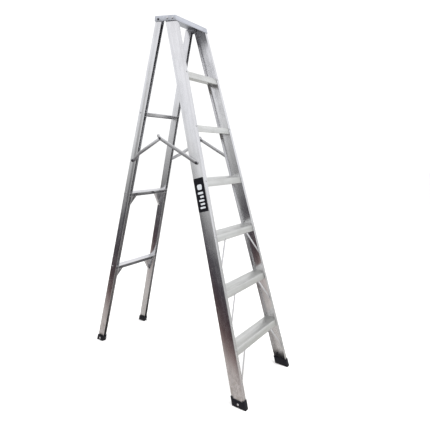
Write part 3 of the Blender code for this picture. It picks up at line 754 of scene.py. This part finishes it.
for word, side in SIDES:
    node = f"spreader_front_bar_{word}"
    axes = cad_axes(node, (side, 0, 0), (0, 1, 0))
    joint_low, joint_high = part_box(f"middle_rivet_{word}")
    FINISH[node] = aluminium(f"{node}_aluminium", axes, STILE_BASE, 0.30)
    bar = make_eared_bar(f"{node}_flat", node, axes, (joint_low + joint_high) / 2)
    print(bar.name, [round(size, 4) for size in bar.dimensions])
    join_model(bar, f"spreader_front_{word}", node, "aluminium", node)
    node = f"spreader_rear_bar_{word}"
    axes = cad_axes(node, (side, 0, 0), (0, -1, 0))
    FINISH[node] = aluminium(f"{node}_aluminium", axes, STILE_BASE, 0.30)
    bar = make_stepped_bar(f"{node}_flat", node, axes)
    join_model(bar, f"spreader_rear_{word}", node, "aluminium", node)
print("spreader bars done")

# %% [markdown]
# ## Rubber feet
# Each stile stands in a moulded shoe that wraps its end. It is a block in the stile's own axes with
# rounded upright corners. Its sole and top are level although the stile leans, and a raised lug at the
# front and at the back holds the channel; the notch between the lugs is a Boolean with a second block.


# %% Mould the feet
SHOE_CORNER, SHOE_EDGE = 0.005, 0.0012


def make_shoe(name, node, stile):
    """Shoe that follows a CAD foot: rounded corners, and all edges softened as moulded rubber is."""
    axes = STILE_AXES[stile]
    points = points_in(node, axes)
    low, high = reach(points)
    spare = 0.03
    shoe = block(name, low - Vector((spare, 0, 0)), high + Vector((spare, 0, 0)))
    edit(shoe)
    pick_edges(shoe, lambda a, b: abs(a.x - b.x) > spare)
    bpy.ops.mesh.bevel(offset=SHOE_CORNER, segments=4, affect="EDGES")
    leave_edit()
    settle(shoe, axes)
    floor_low, floor_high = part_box(node)
    trim(shoe, (0, 0, floor_low.z), (0, 0, -1))
    trim(shoe, (0, 0, floor_high.z), (0, 0, 1))
    levels = [face.center.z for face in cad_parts[node].data.polygons
              if face.normal.z > 0.99 and floor_high.z / 2 < face.center.z < floor_high.z - 0.002]
    side_level = max(levels)
    corners = [axes.inverted() @ vertex.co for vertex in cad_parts[node].data.vertices
               if abs(vertex.co.z - side_level) < 1e-4]
    notch_low, notch_high = reach(corners)
    notch = block("notch", Vector((notch_low.x - spare, notch_low.y, low.z - spare)),
                  Vector((notch_high.x + spare, notch_high.y, high.z + spare)))
    settle(notch, axes)
    trim(notch, (0, 0, side_level), (0, 0, -1))
    use_modifier(shoe, "BOOLEAN", operation="DIFFERENCE", solver="EXACT", object=notch)
    bpy.data.objects.remove(notch, do_unlink=True)
    soften(shoe, SHOE_EDGE, segments=3)
    return shoe


for word, side in SIDES:
    for part in ("front", "rear"):
        node = f"{part}_foot_{word}"
        join_model(make_shoe(f"{node}_shoe", node, f"{part}_stile_{word}"), f"{part}_frame", "rubber",
                   "rubber", node)
print("feet done")

# %% [markdown]
# ## Rivet and bolt heads
# Dozens of rivets hold the ladder together. One head is modelled on the floor of the world: a
# cylinder whose top is inset and raised into a dome. Every other rivet is a copy with its own mesh,
# turned to the face it sits on. The heads that the CAD model already has are replaced the same way,
# so that all of them are equally round.


# %% Model one domed head
def make_head(name, radius, height, segments=24):
    """Domed head that sits on Z = 0."""
    bpy.ops.object.select_all(action="DESELECT")
    bpy.ops.mesh.primitive_cylinder_add(vertices=segments, radius=radius, depth=height * 0.4,
                                        location=(0, 0, height * 0.2))
    head = name_piece(name)
    bpy.ops.object.transform_apply(location=True, rotation=True, scale=True)
    edit(head)
    pick_faces(head, lambda centre, normal: normal.z > 0.9)
    for inset, rise in ((0.20, 0.34), (0.25, 0.18), (0.25, 0.07)):
        bpy.ops.mesh.inset(thickness=radius * inset)
        bpy.ops.transform.translate(value=(0, 0, height * rise))
    leave_edit()
    soften(head, 0.0002, segments=1, smooth=60)
    return head


def place_head(master, name, point, outward):
    """Copy of a head with its own mesh, sitting on a point and facing outward."""
    head = master.copy()
    head.data = master.data.copy()
    head.name = name
    head.data.name = name
    bpy.context.scene.collection.objects.link(head)
    turn = Vector(outward).to_track_quat("Z", "Y").to_matrix().to_4x4()
    settle(head, Matrix.Translation(point) @ turn)
    return head


RIVET, LARGE_RIVET, BOLT = (0.0052, 0.0026), (0.0065, 0.0032), (0.0080, 0.0048)   # radius, height
RIVET_MASTER = make_head("rivet_master", *RIVET)
LARGE_RIVET_MASTER = make_head("large_rivet_master", *LARGE_RIVET)
BOLT_MASTER = make_head("bolt_master", *BOLT)

# %% Rivets through the flanges into the treads and rungs
RIVET_SINK = 0.0001             # how far a head sits into the metal
RIVET_INSET = 0.014             # from the web's outside face


def rivet_on_flange(name, axes, stile, along, inset, way, body):
    """Rivet on the outside of a stile's flange: way is -1 for the front flange, 1 for the rear one."""
    low, high = reach(points_in(stile, axes))
    front_is_low = (axes.to_3x3() @ Vector((0, 1, 0))).y > 0
    at_low = (way < 0) == front_is_low
    y = low.y + RIVET_SINK if at_low else high.y - RIVET_SINK
    outward = axes.to_3x3() @ Vector((0, -1 if at_low else 1, 0))
    point = axes @ Vector((along, y, high.z - inset))
    join_model(place_head(RIVET_MASTER, name, point, outward), body, "steel", "steel")


count = 0
for stile, axes in STILE_AXES.items():
    part, word = stile.split("_")[0], stile.split("_")[2]
    low, high = reach(points_in(stile, axes))
    for node in STEPS if part == "front" else RUNGS:
        lip = points_in(node, axes)
        near = [point.x for point in lip if point.z > high.z - 0.02]
        along = sum(near) / max(1, len(near))
        for way, place in ((-1, "front"), (1, "rear")):
            rivet_on_flange(f"{node}_rivet_{word}_{place}", axes, stile, along, RIVET_INSET, way,
                            f"{part}_frame")
            count += 1
print(count, "rivets through the flanges")

# %% Rivets at both ends of every strap, and two in every gusset
STRAP_COVER = 0.0025            # sheet between a strap and the outside face that its rivet sits on
for node in BRACES:
    axes = cad_axes(node, (0, -1, 0), (0, 0, -1))
    low, high = reach(points_in(node, axes))
    radius = (high.y - low.y) / 2
    outward = axes.to_3x3().col[2]
    for end, x in (("upper", low.x + radius), ("lower", high.x - radius)):
        point = axes @ Vector((x, (low.y + high.y) / 2, high.z + STRAP_COVER))
        rivet = place_head(RIVET_MASTER, f"{node}_rivet_{end}", point, outward)
        join_model(rivet, "front_frame", "steel", "steel")

LIP_COVER, FLANGE_COVER = 0.0022, 0.0025
for node in GUSSETS:
    axes = cad_axes(node, (0, -1, 0), (0, 0, -1))
    low, high = reach(points_in(node, axes))
    back = [axes @ point for point in points_in(node, axes) if point.z < low.z + 1e-4]
    top = max(point.z for point in back)
    along_top = [point for point in back if point.z > top - 0.003]
    inner = min(along_top, key=lambda point: abs(point.x))
    corner = max(along_top, key=lambda point: abs(point.x))
    foot = min(back, key=lambda point: point.z)
    on_lip = corner.lerp(inner, 0.70) + Vector((0, 0, -0.010))
    on_flange = corner.lerp(foot, 0.62).lerp(inner, 0.12)
    for end, place, cover in (("lip", on_lip, LIP_COVER), ("flange", on_flange, FLANGE_COVER)):
        local = axes.inverted() @ place
        point = axes @ Vector((local.x, local.y, low.z - cover))
        rivet = place_head(RIVET_MASTER, f"{node}_rivet_{end}", point, -axes.to_3x3().col[2])
        join_model(rivet, "rear_frame", "steel", "steel")
print(2 * len(BRACES), "rivets on the straps,", 2 * len(GUSSETS), "on the gussets")


# %% Heads of the CAD rivets, pins and bolts
def replace_fastener(node, master, body, finish, outward):
    """Put a round head where a CAD fastener has one; it sits on the same face."""
    low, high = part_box(node)
    centre = (low + high) / 2
    height = master.dimensions.z
    x = high.x - height if outward > 0 else low.x + height
    head = place_head(master, f"{node}_head", Vector((x, centre.y, centre.z)), (outward, 0, 0))
    join_model(head, body, finish, finish, node)


for word, side in SIDES:
    for number in (1, 2):
        replace_fastener(f"cap_rivet_{word}_{number}", LARGE_RIVET_MASTER, "front_frame", "steel", side)
    replace_fastener(f"hinge_pin_{word}", LARGE_RIVET_MASTER, "front_frame", "dark_steel", side)
    for part in ("front", "rear"):
        replace_fastener(f"{part}_bolt_{word}", BOLT_MASTER, f"{part}_frame", "dark_steel", side)
        replace_fastener(f"{part}_foot_{word}_rivet", LARGE_RIVET_MASTER, f"{part}_frame", "steel", side)
    replace_fastener(f"middle_rivet_{word}", LARGE_RIVET_MASTER, f"spreader_front_{word}",
                     "dark_steel", side)
    replace_fastener(f"middle_rivet_tail_{word}", LARGE_RIVET_MASTER, f"spreader_rear_{word}",
                     "dark_steel", -side)
    for part in ("front", "rear"):
        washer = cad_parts[f"{part}_washer_{word}"]
        washer.data.materials.clear()
        washer.data.materials.append(FINISH["steel"])
for master in (RIVET_MASTER, LARGE_RIVET_MASTER, BOLT_MASTER):
    bpy.data.objects.remove(master, do_unlink=True)
print("fasteners done")

# %% [markdown]
# ## The label
# A black film label runs along the left stile. Its corners are rounded, and it carries plain pale
# shapes in place of any wording: one rounded square and five bars, as thin raised plates.


# %% Label and its plain marks
label_axes = cad_axes("side_label", (-1, 0, 0), (0, 0, 1))
label_low, label_high = reach(points_in("side_label", label_axes))


def make_plate(name, low, high, corner):
    """Thin plate with rounded corners, in the label's axes."""
    plate = block(name, low, high)
    edit(plate)
    pick_edges(plate, lambda a, b: (a - b).xy.length < 1e-6)
    bpy.ops.mesh.bevel(offset=corner, segments=4, affect="EDGES")
    leave_edit()
    settle(plate, label_axes)
    only(plate)
    bpy.ops.object.shade_smooth_by_angle(angle=math.radians(35))
    return plate


LABEL_CORNER = 0.004
label = make_plate("side_label_film", label_low, label_high, LABEL_CORNER)
join_model(label, "front_frame", "label", "label", "side_label")
MARK_RISE = 0.0001
middle = (label_low + label_high) / 2
for number, (start, length, width, shift) in enumerate((
        (0.122, 0.030, 0.030, 0.0), (0.098, 0.012, 0.034, 0.0), (0.078, 0.010, 0.024, -0.005),
        (0.058, 0.010, 0.034, 0.0), (0.038, 0.010, 0.028, -0.003), (0.018, 0.010, 0.034, 0.0)), start=1):
    base = Vector((label_low.x + start, middle.y + shift - width / 2, label_high.z))
    mark = make_plate(f"label_mark_{number}", base, base + Vector((length, width, MARK_RISE)),
                      min(length, width) * 0.3)
    join_model(mark, "front_frame", "print", "label")
print("label", [round(size, 4) for size in label.dimensions])

# %% [markdown]
# ## Studio
# The ladder stands on a white floor before a white surround. Bare metal only shows what it reflects,
# so the look of the stiles is made by what stands around them: a dark floor cloth to the side, seen
# by reflections only, draws the deep tone in the lower half of the webs, and the horizon above it
# brightens towards the top.


# %% Floor, reflected floor and world
def stage_material(name, colour):
    material = bpy.data.materials.new(name)
    material.use_nodes = True
    shader = material.node_tree.nodes["Principled BSDF"]
    shader.inputs["Base Color"].default_value = (*colour, 1)
    shader.inputs["Roughness"].default_value = 0.9
    return material


bpy.ops.object.select_all(action="DESELECT")
bpy.ops.mesh.primitive_plane_add(size=60, location=(0, 0, -0.0005))
floor = name_piece("studio_floor")
floor.data.materials.append(stage_material("studio_white", (0.93, 0.93, 0.93)))
floor.visible_glossy = False


def reflected_floor(name, stops):
    """Emission that changes with X, for the floor that only reflections see."""
    material = bpy.data.materials.new(name)
    material.use_nodes = True
    tree = material.node_tree
    tree.nodes.clear()
    coords = add_node(tree, "ShaderNodeTexCoord")
    split = add_node(tree, "ShaderNodeSeparateXYZ")
    wire(tree, coords, "Object", split, "Vector")
    place = ranged(tree, split, "X", stops[0][0], stops[-1][0])
    place.interpolation_type = "LINEAR"
    ramp = add_node(tree, "ShaderNodeValToRGB")
    wire(tree, place, "Result", ramp, "Fac")
    elements = ramp.color_ramp.elements
    span = stops[-1][0] - stops[0][0]
    for index, (x, colour) in enumerate(stops):
        position = (x - stops[0][0]) / span
        element = elements[index] if index < 2 else elements.new(position)
        element.position = position
        element.color = (*colour, 1)
    glow = add_node(tree, "ShaderNodeEmission", Strength=1.0)
    wire(tree, ramp, "Color", glow, "Color")
    output = add_node(tree, "ShaderNodeOutputMaterial")
    wire(tree, glow, "Emission", output, "Surface")
    return material


FLOOR_STOPS = (
    (-12.0, (0.44, 0.44, 0.44)), (-6.0, (0.27, 0.27, 0.27)), (-4.0, (0.18, 0.18, 0.185)),
    (-2.6, (0.075, 0.073, 0.085)), (-1.7, (0.060, 0.052, 0.062)), (-1.2, (0.060, 0.043, 0.052)),
    (-0.90, (0.070, 0.045, 0.048)), (-0.72, (0.105, 0.068, 0.068)), (-0.57, (0.28, 0.21, 0.20)),
    (-0.45, (0.60, 0.55, 0.53)), (0.30, (0.62, 0.60, 0.58)), (0.70, (0.58, 0.58, 0.57)),
    (3.0, (0.62, 0.62, 0.61)), (12.0, (0.70, 0.70, 0.70)))
bpy.ops.object.select_all(action="DESELECT")
bpy.ops.mesh.primitive_plane_add(size=60, location=(0, 0, -0.0002))
cloth = name_piece("floor_cloth")
cloth.data.materials.append(reflected_floor("floor_cloth_tones", FLOOR_STOPS))
cloth.visible_camera = False
cloth.visible_diffuse = False
cloth.visible_transmission = False
cloth.visible_shadow = False

world = bpy.data.worlds.new("studio_surround")
bpy.context.scene.world = world
world.use_nodes = True
tree = world.node_tree
background = tree.nodes["Background"]
coords = add_node(tree, "ShaderNodeTexCoord")
split = add_node(tree, "ShaderNodeSeparateXYZ")
wire(tree, coords, "Generated", split, "Vector")
rise = ranged(tree, split, "Z", 0.0, 0.5)
rise.interpolation_type = "LINEAR"
ramp = add_node(tree, "ShaderNodeValToRGB")
wire(tree, rise, "Result", ramp, "Fac")
WORLD_STOPS = ((0.0, (0.50, 0.50, 0.50)), (0.14, (0.72, 0.73, 0.74)), (0.22, (1.0, 1.0, 1.0)),
               (0.34, (0.82, 0.83, 0.85)), (0.50, (0.92, 0.93, 0.97)), (1.0, (1.0, 1.0, 1.03)))
for index, (position, colour) in enumerate(WORLD_STOPS):
    element = ramp.color_ramp.elements[index] if index < 2 else ramp.color_ramp.elements.new(position)
    element.position = position
    element.color = (*colour, 1)
path = add_node(tree, "ShaderNodeLightPath")
seen = mix_colours(tree, (path, "Is Glossy Ray"), (1.12, 1.12, 1.12), (ramp, "Color"))
tree.links.new(seen[0].outputs[seen[1]], background.inputs["Color"])
background.inputs["Strength"].default_value = 1.0


# %% Soft lights
def soft_light(name, place, aim, size, power):
    bpy.ops.object.light_add(type="AREA", location=place)
    lamp = bpy.context.active_object
    lamp.name = name
    lamp.data.size = size
    lamp.data.energy = power
    lamp.rotation_euler = (Vector(aim) - Vector(place)).to_track_quat("-Z", "Y").to_euler()
    lamp.visible_glossy = False
    return lamp


soft_light("light_above", (-0.5, -0.6, 4.6), (0, 0, 0.6), 4.0, 120)
soft_light("light_front", (0.8, -4.2, 2.6), (0, 0, 1.0), 2.5, 60)

# %% [markdown]
# ## Camera
# The camera stands at the left front, at about the height of the fifth tread. It looks slightly down
# and is rolled a few degrees, so the upright lines lean.


# %% Camera
CAMERA_PLACE = Vector((-2.2586, -1.4431, 1.4305))
YAW, PITCH, ROLL = math.radians(-59.5633), math.radians(-10.573), math.radians(4.9071)
SENSOR, LENS = 36.0, 37.29935   # millimetres
forward = Vector((-math.sin(YAW) * math.cos(PITCH), math.cos(YAW) * math.cos(PITCH), math.sin(PITCH)))
level_right = forward.cross(Vector((0, 0, 1))).normalized()
level_up = level_right.cross(forward)
right = level_right * math.cos(ROLL) + level_up * math.sin(ROLL)
upward = level_up * math.cos(ROLL) - level_right * math.sin(ROLL)
bpy.ops.object.camera_add()
camera = bpy.context.active_object
camera.name = "camera"
camera.matrix_world = Matrix.Translation(CAMERA_PLACE) @ Matrix(
    (right, upward, -forward)).transposed().to_4x4()
camera.data.sensor_width = SENSOR
camera.data.lens = LENS
bpy.context.scene.camera = camera
bpy.context.scene.view_settings.view_transform = "Standard"
print("lens", round(camera.data.lens, 2))
